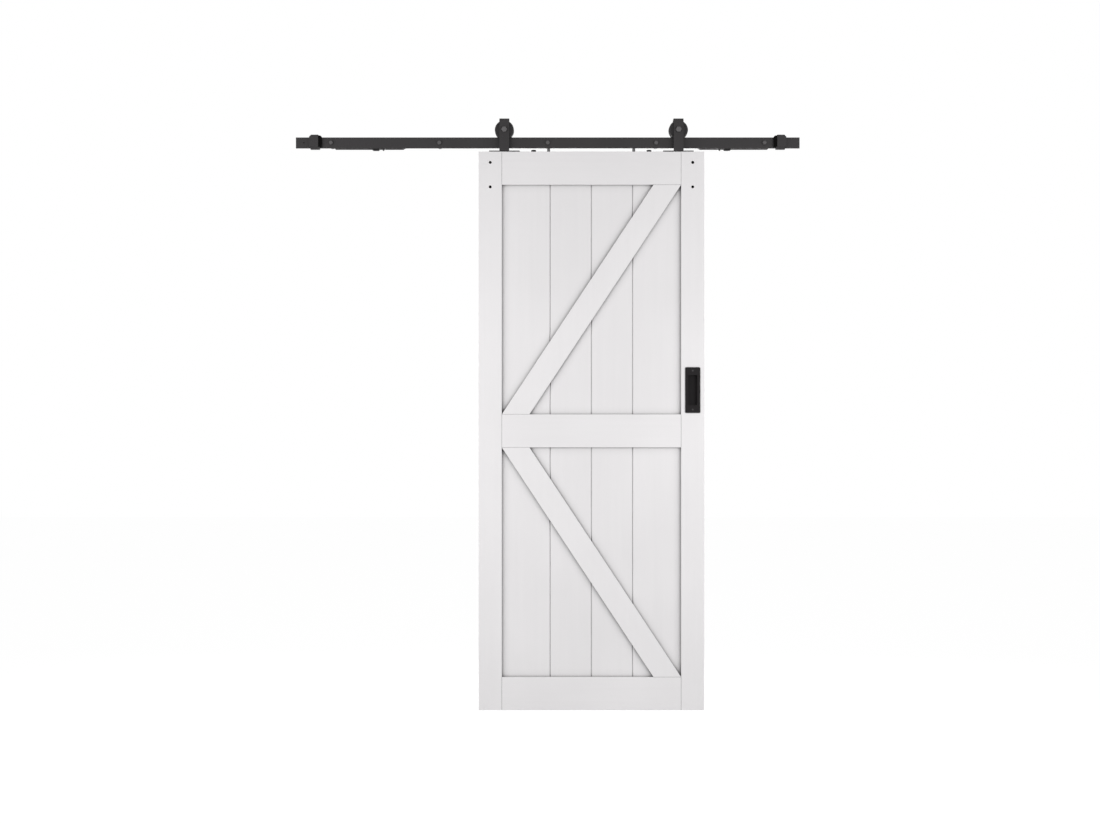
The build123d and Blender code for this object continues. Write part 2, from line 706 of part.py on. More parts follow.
def top_screw_places():
    """X, Y, head height and radii of every screw in the leaf top."""
    places = []
    for x in HANGER_XS:
        for dx, y in FOOT_SCREWS:
            for side in (-1, 1):
                places.append((x + side * dx, y, FOOT_TOP, TOP_SCREW_R, TOP_SCREW_HEAD_R))
    for x in DISC_XS:
        places.append((x, DISC_Y, LEAF_TOP + DISC_H, TOP_SCREW_R, TOP_SCREW_HEAD_R))
    for x in PIN_XS:
        for side in (-1, 1):
            place_x = x + side * PLATE_SCREW_OFFSET
            places.append((place_x, PIN_Y, PLATE_TOP, PLATE_SCREW_R, PLATE_SCREW_HEAD_R))
    return places


def top_screw(x, y, head_z, radius, head_r):
    """Countersunk wood screw, its head flush at head_z."""
    cone = head_r - radius
    tip_z = LEAF_TOP - TOP_SCREW_LENGTH
    profile = [
        (0, head_z),
        (head_r, head_z),
        (radius, head_z - cone),
        (radius, tip_z + radius),
        (0, tip_z),
    ]
    return turned_z(profile, x, y)


def cut_top_screws(shape, low_x, high_x):
    """Take the screws of the leaf top out of the pieces between two X positions."""
    for place in top_screw_places():
        if low_x < place[0] < high_x:
            shape -= top_screw(*place)
    return shape


def stile(side):
    x0, x1 = edge_span(side, 0, STILE_WIDTH)
    board = block(x0, x1, LEAF_FRONT, LEAF_BACK, LEAF_BOTTOM, LEAF_TOP)
    board = chamfer(board.edges().filter_by(Axis.Z), WOOD_EASE)
    groove_x = edge_span(side, STILE_WIDTH - GROOVE_DEPTH, STILE_WIDTH + CUT)
    groove_y = (PLANK_FRONT - GROOVE_SLACK, PLANK_BACK + GROOVE_SLACK)
    board -= block(*groove_x, *groove_y, LEAF_BOTTOM - CUT, LEAF_TOP + CUT)
    for z in frame_screw_zs():
        board -= frame_screw_hole(side, z)
    hole_x = (x0 + x1) / 2
    hole_end = LEAF_FRONT + STILE_HOLE_DEPTH
    for drop in STILE_HOLE_DROPS:
        board -= rod_y(hole_x, LEAF_TOP - drop, STILE_HOLE_R, LEAF_FRONT - CUT, hole_end)
    board = cut_top_screws(board, x0, x1)
    if side > 0:
        board -= pull_pocket()
        for z in pull_screw_zs():
            board -= pull_screw(z)
    return board


def rail_board(top, grooved_sides):
    """Cross board with stub tenons and a groove for the planks on each named side."""
    bottom = top - RAIL_BOARD_HEIGHT
    x0 = LEAF_REST_X - OPENING_HALF
    x1 = LEAF_REST_X + OPENING_HALF
    board = block(x0, x1, LEAF_FRONT, LEAF_BACK, bottom, top)
    board = chamfer(board.edges().filter_by(Axis.Y, reverse=True), WOOD_EASE)
    board += block(x0 - TENON_LENGTH, x1 + TENON_LENGTH, PLANK_FRONT, PLANK_BACK, bottom, top)
    groove_y = (PLANK_FRONT - GROOVE_SLACK, PLANK_BACK + GROOVE_SLACK)
    groove_x = (x0 - TENON_LENGTH - CUT, x1 + TENON_LENGTH + CUT)
    for below in grooved_sides:
        depth = (bottom - CUT, bottom + GROOVE_DEPTH) if below else (top - GROOVE_DEPTH, top + CUT)
        board -= block(*groove_x, *groove_y, *depth)
    for z in frame_screw_zs():
        if bottom < z < top:
            board -= frame_screw_hole(1, z)
            board -= frame_screw_hole(-1, z)
    if top == LEAF_TOP:
        board = cut_top_screws(board, x0, x1)
    return board


def plank_edge(x, side, tongue):
    """Half of a plank section from its back to its front, for one long edge."""
    mid = (PLANK_FRONT + PLANK_BACK) / 2
    half = TONGUE_T / 2 if tongue else TONGUE_T / 2 + TONGUE_SLACK
    reach = TONGUE_LENGTH if tongue else -TONGUE_LENGTH - TONGUE_SLACK
    return [
        (x - side * VEE_LEG, PLANK_BACK),
        (x, PLANK_BACK - VEE_LEG),
        (x, mid + half),
        (x + side * reach, mid + half),
        (x + side * reach, mid - half),
        (x, mid - half),
        (x, PLANK_FRONT + VEE_LEG),
        (x - side * VEE_LEG, PLANK_FRONT),
    ]


def plank(index, opening):
    """One tongue-and-groove plank, counted from the left."""
    low, high = opening[0] - TENON_LENGTH, opening[1] + TENON_LENGTH
    if index == 0:
        edge = LEAF_REST_X - OPENING_HALF - TENON_LENGTH
        left = [(edge, PLANK_BACK), (edge, PLANK_FRONT)]
    else:
        left = plank_edge(LEAF_REST_X + PLANK_SEAMS[index - 1] + PLANK_GAP / 2, -1, False)
    if index == len(PLANK_SEAMS):
        edge = LEAF_REST_X + OPENING_HALF + TENON_LENGTH
        right = [(edge, PLANK_BACK), (edge, PLANK_FRONT)]
    else:
        right = plank_edge(LEAF_REST_X + PLANK_SEAMS[index] - PLANK_GAP / 2, 1, True)
    return prism_z(left + list(reversed(right)), low, high)


def brace(opening, rising):
    """Diagonal board whose ends fill two opposite corners of an opening."""
    low, high = opening
    width = 2 * OPENING_HALF
    height = high - low
    lean = acos(BRACE_WIDTH / hypot(width, height)) - atan2(height, width)
    cut = BRACE_WIDTH / cos(lean)
    points = [
        (-OPENING_HALF, low),
        (-OPENING_HALF + cut, low),
        (OPENING_HALF, high),
        (OPENING_HALF - cut, high),
    ]
    sign = 1 if rising else -1
    shape = [(LEAF_REST_X + sign * x, z) for x, z in points]
    board = prism_y(shape, LEAF_FRONT, PLANK_FRONT)
    return chamfer(board.faces().sort_by(Axis.Y)[0].edges(), WOOD_EASE)


# Flush pull

def pull_screw_zs():
    return (PULL_Z - PULL_SCREW_OFFSET, PULL_Z + PULL_SCREW_OFFSET)


def pull_screw(z):
    front = LEAF_FRONT - PULL_PLATE_T
    cone = PULL_SCREW_HEAD_R - PULL_SCREW_R
    tip = LEAF_FRONT + PULL_SCREW_LENGTH
    profile = [
        (0, front),
        (PULL_SCREW_HEAD_R, front),
        (PULL_SCREW_R, front + cone),
        (PULL_SCREW_R, tip - PULL_SCREW_R),
        (0, tip),
    ]
    return turned_y(profile, PULL_X, z)


def pull_pocket():
    grow = 2 * (CUP_WALL + CUP_SLACK)
    return block(
        PULL_X - (CUP_WIDTH + grow) / 2,
        PULL_X + (CUP_WIDTH + grow) / 2,
        LEAF_FRONT - CUT,
        LEAF_FRONT + CUP_DEPTH + CUP_SLACK,
        PULL_Z - (CUP_LENGTH + grow) / 2,
        PULL_Z + (CUP_LENGTH + grow) / 2,
    )


def flush_pull():
    front = LEAF_FRONT - PULL_PLATE_T
    floor = LEAF_FRONT + CUP_DEPTH - CUP_WALL
    size = (PULL_WIDTH, PULL_LENGTH)
    pull = rounded_plate_y(PULL_X, PULL_Z, *size, PULL_CORNER_R, front, LEAF_FRONT)
    outer = (CUP_WIDTH + 2 * CUP_WALL, CUP_LENGTH + 2 * CUP_WALL)
    cup_back = LEAF_FRONT + CUP_DEPTH
    pull += rounded_plate_y(PULL_X, PULL_Z, *outer, PULL_CORNER_R, LEAF_FRONT, cup_back)
    inner = (CUP_WIDTH, CUP_LENGTH)
    pull -= rounded_plate_y(PULL_X, PULL_Z, *inner, PULL_CORNER_R / 2, front - CUT, floor)
    for z in pull_screw_zs():
        pull -= pull_screw(z)
    return pull


# Hangers

def foot_plate():
    front = LEAF_FRONT + FOOT_SET_BACK
    back = LEAF_BACK - STRAP_T
    plate = block(-FOOT_WIDTH / 2, FOOT_WIDTH / 2, front, back, LEAF_TOP, FOOT_TOP)
    return fillet(plate.edges().filter_by(Axis.Z), FOOT_CORNER_R)


def strap_section():
    """Outer and inner outline of the bent strap, as (y, z) sketches."""
    outer = Plane.YZ * Pos(RAIL_MID_Y, (STRAP_TOP + LEAF_TOP) / 2) * Rectangle(
        LEAF_THICKNESS, STRAP_TOP_RISE
    )
    inner = Plane.YZ * Pos(RAIL_MID_Y, (STRAP_TOP + LEAF_TOP) / 2) * Rectangle(
        LEAF_THICKNESS - 2 * STRAP_T, STRAP_TOP_RISE - 2 * STRAP_T
    )
    outer = fillet(outer.vertices().group_by(Axis.Z)[-1], STRAP_BEND_R + STRAP_T)
    inner = fillet(inner.vertices().group_by(Axis.Z)[-1], STRAP_BEND_R)
    outer_foot = outer.vertices().group_by(Axis.Z)[0].sort_by(Axis.Y)[0]
    inner_foot = inner.vertices().group_by(Axis.Z)[0].sort_by(Axis.Y)[0]
    outer = fillet(outer_foot, STRAP_FOOT_BEND_R + STRAP_T)
    inner = fillet(inner_foot, STRAP_FOOT_BEND_R)
    return outer - inner


def hanger_strap(x):
    half = STRAP_WIDTH / 2
    rear = LEAF_BACK - STRAP_T
    strap = Pos(-half, 0, 0) * extrude(strap_section(), amount=STRAP_WIDTH)
    strap -= block(
        -half - CUT, half + CUT, rear, LEAF_BACK + CUT, LEAF_TOP - CUT, STRAP_TAIL_Z + half
    )
    tail = rod_y(0, STRAP_TAIL_Z + half, half, rear, LEAF_BACK)
    strap += tail
    strap += foot_plate()
    strap -= rod_y(0, AXLE_Z, AXLE_R, LEAF_FRONT - CUT, LEAF_BACK + CUT)
    strap = Pos(x, 0, 0) * strap
    return cut_top_screws(strap, x - FOOT_WIDTH / 2, x + FOOT_WIDTH / 2)


def axle_bolt(x):
    head = hex_head(x, AXLE_Z, AXLE_AF, LEAF_FRONT - AXLE_HEAD_H, LEAF_FRONT)
    end = LEAF_BACK + AXLE_NUT_H + AXLE_TAIL
    return head + rod_y(x, AXLE_Z, AXLE_R, LEAF_FRONT - CUT, end)


def axle_nut(x):
    end = LEAF_BACK + AXLE_NUT_H
    nut = hexagon_y(x, AXLE_Z, AXLE_AF, LEAF_BACK, end)
    return nut - rod_y(x, AXLE_Z, AXLE_R, LEAF_BACK - CUT, end + CUT)


def axle_bushing(x, y0, y1):
    tube = rod_y(x, AXLE_Z, BUSHING_R, y0, y1)
    return tube - rod_y(x, AXLE_Z, AXLE_R, y0 - CUT, y1 + CUT)


def bushing_spans():
    half = BEARING_WIDTH / 2
    front = (LEAF_FRONT + STRAP_T, RAIL_MID_Y - half)
    return (front, (RAIL_MID_Y + half, LEAF_BACK - STRAP_T))


def wheel(x):
    """Grooved roller, with its bearing seat open to the back."""
    half = WHEEL_WIDTH / 2
    groove = TREAD_WIDTH / 2
    rim_in = half - RIM_WIDTH
    low, high = FACE_RECESS_R
    front = [
        (HUB_BORE_R, -half),
        (low, -half),
        (low, -half + FACE_RECESS),
        (high, -half + FACE_RECESS),
        (high, -half),
        (WHEEL_R - RIM_EASE, -half),
        (WHEEL_R, -half + RIM_EASE),
        (WHEEL_R, -rim_in),
        (TREAD_R, -groove),
    ]
    back = [(radius, -y) for radius, y in reversed(front[1:])]
    bore = [
        (BEARING_R, half),
        (BEARING_R, -BEARING_WIDTH / 2),
        (HUB_BORE_R, -BEARING_WIDTH / 2),
    ]
    profile = [(radius, RAIL_MID_Y + y) for radius, y in front + back + bore]
    return turned_y(profile, x, AXLE_Z)


def bearing_inner_ring(x):
    half = BEARING_WIDTH / 2
    ring = rod_y(x, AXLE_Z, BEARING_INNER_R, RAIL_MID_Y - half, RAIL_MID_Y + half)
    return ring - rod_y(x, AXLE_Z, AXLE_R, RAIL_MID_Y - half - CUT, RAIL_MID_Y + half + CUT)


def bearing_outer_ring(x):
    """Outer race with the two shields that close the ball space."""
    half = BEARING_WIDTH / 2
    lip = BEARING_INNER_R + BEARING_SHIELD_GAP
    inside = half - BEARING_SHIELD_T
    profile = [
        (BEARING_R, -half),
        (lip, -half),
        (lip, -inside),
        (BEARING_RACE_R, -inside),
        (BEARING_RACE_R, inside),
        (lip, inside),
        (lip, half),
        (BEARING_R, half),
    ]
    return turned_y([(radius, RAIL_MID_Y + y) for radius, y in profile], x, AXLE_Z)


# Hardware on the leaf top

def anti_jump_disc(x):
    disc = rod_z(x, DISC_Y, DISC_R, LEAF_TOP, LEAF_TOP + DISC_H)
    disc = chamfer(disc.edges().group_by(Axis.Z)[-1], WOOD_EASE)
    return cut_top_screws(disc, x - DISC_R, x + DISC_R)


def trigger_plate(x):
    half = PLATE_LENGTH / 2
    y0, y1 = PIN_Y - PLATE_WIDTH / 2, PIN_Y + PLATE_WIDTH / 2
    plate = block(x - half, x + half, y0, y1, LEAF_TOP, PLATE_TOP)
    plate = cut_top_screws(plate, x - half, x + half)
    return plate - rod_z(x, PIN_Y, PIN_STUB_R, LEAF_TOP - CUT, PLATE_TOP + CUT)


def trigger_pin(x):
    pin = rod_z(x, PIN_Y, PIN_R, PLATE_TOP, PIN_TOP_Z)
    pin = chamfer(pin.edges().group_by(Axis.Z)[-1], WOOD_EASE)
    return pin + rod_z(x, PIN_Y, PIN_STUB_R, LEAF_TOP, PLATE_TOP + CUT)


def group(shapes):
    """Several loose pieces of one node."""
    return Compound(children=list(shapes))


def sided(name, shape, shift=0.0):
    """Right-hand piece and its left-hand one under their two names."""
    return {"right_" + name: shape, "left_" + name: mirrored(shape, shift)}


def rail_nodes():
    set_screw_xs = [STOP_INNER_X + offset for offset in SET_SCREW_OFFSETS]
    set_screws = [stop_set_screw(sign * x) for x in set_screw_xs for sign in (-1, 1)]
    nodes = {
        "track_rail": track_rail(),
        "wall_spacers": group(wall_spacer(x) for x in BOLT_XS),
        "wall_washers": group(wall_washer(x) for x in BOLT_XS),
        "wall_bolts": group(wall_bolt(x) for x in BOLT_XS),
        "stop_set_screws": group(set_screws),
    }
    nodes.update(sided("stop_block", stop_block()))
    nodes.update(sided("stop_bumper", stop_bumper()))
    return nodes


def unit_nodes():
    caps = [unit_inner_cap(), unit_outer_cap()]
    screws = [unit_screw(x) for x in UNIT_SCREW_XS]
    left_screws = [mirrored(screw, LEFT_UNIT_SHIFT) for screw in screws]
    nodes = {
        "soft_close_screws": group(screws + left_screws),
        "right_channel_end_caps": group(caps),
        "left_channel_end_caps": group(mirrored(cap, LEFT_UNIT_SHIFT) for cap in caps),
    }
    pieces = {
        "soft_close_channel": unit_channel(),
        "damper_cylinder": damper_cylinder(),
        "damper_rod": damper_rod(),
        "slider": slider(),
        "claw": claw(),
        "claw_finger": claw_finger(),
        "soft_close_spring": unit_spring(),
    }
    for name, shape in pieces.items():
        nodes.update(sided(name, shape, LEFT_UNIT_SHIFT))
    return nodes


def leaf_nodes():
    zs = frame_screw_zs()
    nodes = {
        "left_stile": stile(-1),
        "right_stile": stile(1),
        "top_rail": rail_board(LEAF_TOP, (True,)),
        "mid_rail": rail_board(MID_BOARD_TOP, (True, False)),
        "bottom_rail": rail_board(LOW_BOARD_TOP, (False,)),
        "upper_brace": brace(UPPER_OPENING, True),
        "lower_brace": brace(LOWER_OPENING, False),
        "frame_screws": group(frame_screw(side, z) for z in zs for side in (-1, 1)),
        "frame_screw_caps": group(frame_screw_cap(side, z) for z in zs for side in (-1, 1)),
        "flush_pull": flush_pull(),
        "flush_pull_screws": group(pull_screw(z) for z in pull_screw_zs()),
    }
    for index in range(len(PLANK_SEAMS) + 1):
        nodes[f"upper_plank_{index + 1}"] = plank(index, UPPER_OPENING)
        nodes[f"lower_plank_{index + 1}"] = plank(index, LOWER_OPENING)
    return nodes


def hanger_nodes():
    spans = bushing_spans()
    nodes = {
        "axle_bolts": group(axle_bolt(x) for x in HANGER_XS),
        "axle_nuts": group(axle_nut(x) for x in HANGER_XS),
        "axle_bushings": group(axle_bushing(x, *span) for x in HANGER_XS for span in spans),
        "bearing_inner_rings": group(bearing_inner_ring(x) for x in HANGER_XS),
        "door_top_screws": group(top_screw(*place) for place in top_screw_places()),
        "anti_jump_discs": group(anti_jump_disc(x) for x in DISC_XS),
        "trigger_plates": group(trigger_plate(x) for x in PIN_XS),
        "trigger_pins": group(trigger_pin(x) for x in PIN_XS),
    }
    for side, x in zip(("left", "right"), HANGER_XS):
        nodes[side + "_hanger_strap"] = hanger_strap(x)
        nodes[side + "_wheel"] = wheel(x)
        nodes[side + "_bearing_outer_ring"] = bearing_outer_ring(x)
    return nodes


for make_nodes in (rail_nodes, unit_nodes, leaf_nodes, hanger_nodes):
    for node_name, node_shape in make_nodes().items():
        export_step(node_shape, f"parts/{node_name}.step")
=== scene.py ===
"""Looks of the sliding barn door: camera, lamps, materials and the pieces the solids leave out."""
import math

import bpy
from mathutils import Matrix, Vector


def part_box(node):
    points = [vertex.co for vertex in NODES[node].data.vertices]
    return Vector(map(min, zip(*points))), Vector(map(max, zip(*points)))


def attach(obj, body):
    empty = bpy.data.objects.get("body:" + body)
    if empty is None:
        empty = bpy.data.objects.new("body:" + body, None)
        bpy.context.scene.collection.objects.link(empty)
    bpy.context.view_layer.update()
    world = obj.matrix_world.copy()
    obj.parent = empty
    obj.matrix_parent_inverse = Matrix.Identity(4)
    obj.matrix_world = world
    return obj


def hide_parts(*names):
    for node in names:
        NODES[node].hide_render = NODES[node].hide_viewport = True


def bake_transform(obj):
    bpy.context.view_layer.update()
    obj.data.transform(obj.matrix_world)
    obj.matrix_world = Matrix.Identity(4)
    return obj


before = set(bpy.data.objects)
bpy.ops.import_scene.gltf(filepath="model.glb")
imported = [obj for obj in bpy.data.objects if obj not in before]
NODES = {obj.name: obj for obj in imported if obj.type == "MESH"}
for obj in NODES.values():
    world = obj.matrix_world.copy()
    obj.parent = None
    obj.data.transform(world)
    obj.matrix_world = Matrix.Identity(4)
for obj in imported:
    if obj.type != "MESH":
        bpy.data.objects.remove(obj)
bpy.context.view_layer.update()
SIDES = ("left", "right")

# Lengths are in metres, powers in watts and tones in 8-bit screen values

# Camera: looks straight along Y, about level with the middle of the door's full height
IMAGE_WIDTH_PX = 1100
FOCAL_PX = 1250.0
SENSOR_MM = 36.0
CAMERA_PLACE = (0.0084, -4.655, -0.994)
CLIP_NEAR = 0.05
CLIP_FAR = 100

# Lamps: two wide ones in front, to the left and right of the leaf, and a square one behind
FRONT_LAMP_XS = {"key": -2.08, "fill": 2.33}
FRONT_LAMP_Y = -1.75
FRONT_LAMP_Z = -0.91
FRONT_LAMP_AIM = (0.12, -0.05, -0.92)
FRONT_LAMP_WIDTH = 2.5
FRONT_LAMP_HEIGHT = 0.9
FRONT_LAMP_POWER = 47
BACK_LAMP_PLACE = (0.3, 3.4, -0.8)
BACK_LAMP_AIM = (0.12, -0.05, -0.95)
BACK_LAMP_SIDE = 1.6
BACK_LAMP_POWER = 62

# Surroundings: how strongly they light the door, and how bright they show
WORLD_LIGHT = 0.38
WORLD_SHOWN = 1.0
WHITE = (1, 1, 1, 1)

# Floor: height and half its side, tones in the light it throws back, shade and glow where it shows
FLOOR_Z = -2.56
FLOOR_HALF = 14.0
FLOOR_DARK = (176, 176, 176)
FLOOR_LIGHT = (182, 182, 182)
FLOOR_SHADE = 0.16
FLOOR_GLOW = 0.93

# Painted boards: tones of the paint, and cells of the grain in a metre along and across a board
BOARD_DARK = (230, 228, 229)
BOARD_LIGHT = (237, 235, 236)
# The planks' tones are a darker copy of the boards', as painted shade on the planks that lie deeper than
# the frame
PLANK_DARK = (228, 226, 227)
PLANK_LIGHT = (235, 233, 234)
GRAIN_ALONG = 2.2
GRAIN_ACROSS = 60.0

# Number of the axis that the grain runs along
LEVEL = 0
UPRIGHT = 2

# Openness of a place, from rays of a given reach: the number of rays
OPENNESS_SAMPLES = 16

# Painted shade in the inner corners of the painted boards, darker where a place is less open: reach, then
# openness and tint
CORNER_REACH = 0.03
CORNER_SHADE = [(0.25, 0.17), (0.58, 0.62), (0.72, 0.83), (0.86, 0.93), (0.95, 0.975), (1.0, 1.0)]

# Painted shade in the fine joint lines between the boards of the frame: reach, then openness and tint
JOINT_REACH = 0.003
JOINT_SHADE = [(0.5, 0.3), (0.9, 0.85), (1.0, 1.0)]

# Screw bores in the stiles: drops from the stile's top, and the radius and depth that get painted shade
BORE_DROPS = (0.04, 0.13)
BORE_DARK_R = 0.0052
BORE_DARK_DEPTH = 0.0305

# Painted shade around a bore's axis, where the first position stands for the radius of the painted shade
BORE_EDGE = 0.5
BORE_SHADE = [(BORE_EDGE, 0.03), (0.53, 1.0)]

# Soft-close springs: wire radius, pitch, points in a turn, straight tail at each end
WIRE_R = 0.00045
COIL_PITCH = 0.00096
COIL_STEPS = 14
TAIL = 0.004

# Wall bolts: axes along Y at Z 0, evenly about the rail's middle, with the wall's face at Y 0
BOLT_PITCH = 0.4
BOLT_XS = [BOLT_PITCH * i for i in range(-2, 3)]

# Thread of the wall bolts: the tip tapers from THREAD_END to TIP_END, both from the wall's face
THREAD_PITCH = 0.0032
THREAD_ROOT_R = 0.0031
THREAD_CREST_R = 0.004
THREAD_END = 0.045
TIP_END = 0.051
THREAD_STEPS = 20

# Ridge of the thread: half widths at foot and crest, the foot's radius as a part of the root's, and
# the corners of its cross section
RIDGE_FOOT = 0.0007
RIDGE_CREST = 0.0001
RIDGE_SINK = 0.97
RIDGE_CORNERS = 4

# Slack in finding the shank's points by their distance from the wall's face and from the axis
FACE_SLACK = 1e-6
SHANK_SLACK = 2e-4


def srgb(value):
    """Linear value of an 8-bit screen value."""
    v = value / 255
    return v / 12.92 if v <= 0.04045 else ((v + 0.055) / 1.055) ** 2.4


def tone(r, g, b):
    """Linear colour of an 8-bit screen colour."""
    return (srgb(r), srgb(g), srgb(b), 1.0)


def both(*names):
    """Names of the left and the right node of each kind."""
    return [side + "_" + name for name in names for side in SIDES]


# Node trees


def connect(tree, node, inputs):
    """Feeds a node's inputs from other nodes' outputs, or sets them to plain values."""
    for socket, value in inputs.items():
        if isinstance(value, bpy.types.NodeSocket):
            tree.links.new(value, node.inputs[socket])
        else:
            node.inputs[socket].default_value = value


def add_node(tree, kind, inputs):
    """New node with its inputs fed or set."""
    node = tree.nodes.new(kind)
    connect(tree, node, inputs)
    return node


def calculate(tree, operation, *values):
    """Result of a math node on other nodes' outputs and plain numbers."""
    node = tree.nodes.new("ShaderNodeMath")
    node.operation = operation
    connect(tree, node, dict(enumerate(values)))
    return node.outputs["Value"]


def seen_directly(tree):
    """1 for the rays that show a surface itself, in the open, in a gloss or through glass."""
    path = tree.nodes.new("ShaderNodeLightPath")
    found = path.outputs["Is Camera Ray"]
    for ray in ("Is Glossy Ray", "Is Transmission Ray"):
        found = calculate(tree, "MAXIMUM", found, path.outputs[ray])
    return found


def shown_apart(tree, lighting, shown):
    """Shader that lights other surfaces as the first one and shows as the second."""
    mix = add_node(tree, "ShaderNodeMixShader", {0: seen_directly(tree), 1: lighting, 2: shown})
    return mix.outputs["Shader"]


class Shader:
    """A material's node tree with short calls for the nodes used here."""

    def __init__(self, name, roughness, metallic=0.0, specular=0.5):
        self.material = bpy.data.materials.new(name)
        self.material.use_nodes = True
        self.tree = self.material.node_tree
        self.bsdf = self.tree.nodes["Principled BSDF"]
        self.bsdf.inputs["Roughness"].default_value = roughness
        self.bsdf.inputs["Metallic"].default_value = metallic
        self.bsdf.inputs["Specular IOR Level"].default_value = specular
        self.place = self.tree.nodes.new("ShaderNodeTexCoord").outputs["Object"]

    def stretched(self, scale):
        """Object coordinates stretched by a scale for each axis."""
        node = add_node(self.tree, "ShaderNodeMapping", {"Scale": scale, "Vector": self.place})
        return node.outputs["Vector"]

    def noise(self, place, scale, detail=3.0, roughness=0.5):
        """Soft random number from 0 to 1, with a number of cells to a unit of the coordinates."""
        inputs = {"Scale": scale, "Detail": detail, "Roughness": roughness, "Vector": place}
        return add_node(self.tree, "ShaderNodeTexNoise", inputs).outputs["Fac"]

    def ramp(self, factor, stops):
        """Colour ramp from (position, colour) stops."""
        node = add_node(self.tree, "ShaderNodeValToRGB", {"Fac": factor})
        elements = node.color_ramp.elements
        elements[0].position, elements[0].color = stops[0]
        elements[1].position, elements[1].color = stops[-1]
        for position, colour in stops[1:-1]:
            elements.new(position).color = colour
        return node.outputs["Color"]

    def two_tones(self, factor, dark, light, start, end):
        """Colour that runs from a dark to a light tone as the factor runs from start to end."""
        return self.ramp(factor, [(start, tone(*dark)), (end, tone(*light))])

    def tint(self, factor, stops):
        """Grey from (position, level) stops."""
        return self.ramp(factor, [(position, (level, level, level, 1)) for position, level in stops])

    def tinted(self, colour, tint):
        """Colour multiplied by another."""
        node = self.tree.nodes.new("ShaderNodeMix")
        node.data_type = "RGBA"
        node.blend_type = "MULTIPLY"
        connect(self.tree, node, {"Factor": 1.0, "A": colour, "B": tint})
        return node.outputs["Result"]

    def plus(self, number, extra, weight):
        """A number plus a weighted second one."""
        return calculate(self.tree, "MULTIPLY_ADD", extra, weight, number)

    def spread(self, factor, low, high):
        """Number that runs from low to high as the factor runs from 0 to 1."""
        inputs = {"To Min": low, "To Max": high, "Value": factor}
        return add_node(self.tree, "ShaderNodeMapRange", inputs).outputs["Result"]

    def openness(self, reach):
        """1 in the open, less in inner corners, as far out from them as the reach."""
        node = add_node(self.tree, "ShaderNodeAmbientOcclusion", {"Distance": reach})
        node.samples = OPENNESS_SAMPLES
        return node.outputs["AO"]

    def axis_distance(self, x, z):
        """Distance to a line along Y."""
        node = self.tree.nodes.new("ShaderNodeVectorMath")
        node.operation = "DISTANCE"
        connect(self.tree, node, {0: self.stretched((1.0, 0.0, 1.0)), 1: (x, 0, z)})
        return node.outputs["Value"]

    def nearest(self, axes):
        """Distance to the nearest of some lines along Y, given by their X and Z."""
        found, *others = [self.axis_distance(x, z) for x, z in axes]
        for distance in others:
            found = calculate(self.tree, "MINIMUM", found, distance)
        return found

    def behind(self, y):
        """1 where Y is past a limit, otherwise 0."""
        split = add_node(self.tree, "ShaderNodeSeparateXYZ", {"Vector": self.place})
        return calculate(self.tree, "GREATER_THAN", split.outputs["Y"], y)

    def feed(self, socket, output):
        """Lets an output drive one of the surface's sockets."""
        self.tree.links.new(output, self.bsdf.inputs[socket])

    def grained(self, factor, smooth, rough, depth, strength):
        """Roughness and a fine relief that follow a factor."""
        self.feed("Roughness", self.spread(factor, smooth, rough))
        inputs = {"Distance": depth, "Strength": strength, "Height": factor}
        relief = add_node(self.tree, "ShaderNodeBump", inputs)
        self.feed("Normal", relief.outputs["Normal"])


# Kinds of material


def bore_axes():
    """X and Z of each screw bore in the stiles."""
    axes = []
    for name in both("stile"):
        low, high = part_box(name)
        axes += [((low[0] + high[0]) / 2, high[2] - drop) for drop in BORE_DROPS]
    return axes


def painted_bore_shade(shader, paint):
    """Paint darkened in the stiles' screw bores down to just past their floors, as painted shade."""
    front_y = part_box("left_stile")[0][1]
    distance = calculate(shader.tree, "MULTIPLY", shader.nearest(bore_axes()), BORE_EDGE / BORE_DARK_R)
    outside = shader.plus(distance, shader.behind(front_y + BORE_DARK_DEPTH), weight=1.0)
    return shader.tinted(paint, shader.tint(outside, BORE_SHADE))


def painted_wood(name, grain_axis, dark=BOARD_DARK, light=BOARD_LIGHT, joints=False, bores=False):
    """White primer with the grain showing faintly through it, and painted shade in the inner corners."""
    shader = Shader(name, roughness=0.5, specular=0.3)
    cells = [GRAIN_ACROSS] * 3
    cells[grain_axis] = GRAIN_ALONG
    grain = shader.noise(shader.stretched(cells), scale=1.0, detail=4.0, roughness=0.55)
    cloud = shader.noise(shader.place, scale=2.3, detail=2.0)
    mixed = shader.plus(cloud, grain, weight=0.35)
    paint = shader.two_tones(mixed, dark, light, start=0.35, end=0.95)
    # Painted shade: the paint darkens in the inner corners, by how open each place is
    paint = shader.tinted(paint, shader.tint(shader.openness(CORNER_REACH), CORNER_SHADE))
    # Painted shade in the fine joint lines between the frame's boards, by how open each place is
    if joints:
        paint = shader.tinted(paint, shader.tint(shader.openness(JOINT_REACH), JOINT_SHADE))
    # Painted shade: the paint turns near black inside the stiles' screw bores
    if bores:
        paint = painted_bore_shade(shader, paint)
    shader.feed("Base Color", paint)
    shader.grained(grain, smooth=0.42, rough=0.6, depth=0.00025, strength=0.5)
    return shader.material


def powder_coat(name, dark, light, roughness=0.5, specular=0.3):
    """Finely textured coating."""
    shader = Shader(name, roughness=roughness, specular=specular)
    speckle = shader.noise(shader.place, scale=900.0, detail=2.0)
    cloud = shader.noise(shader.place, scale=9.0)
    mixed = shader.plus(cloud, speckle, weight=0.3)
    shader.feed("Base Color", shader.two_tones(mixed, dark, light, start=0.35, end=0.95))
    shader.grained(speckle, roughness - 0.08, roughness + 0.1, depth=0.0001, strength=0.6)
    return shader.material


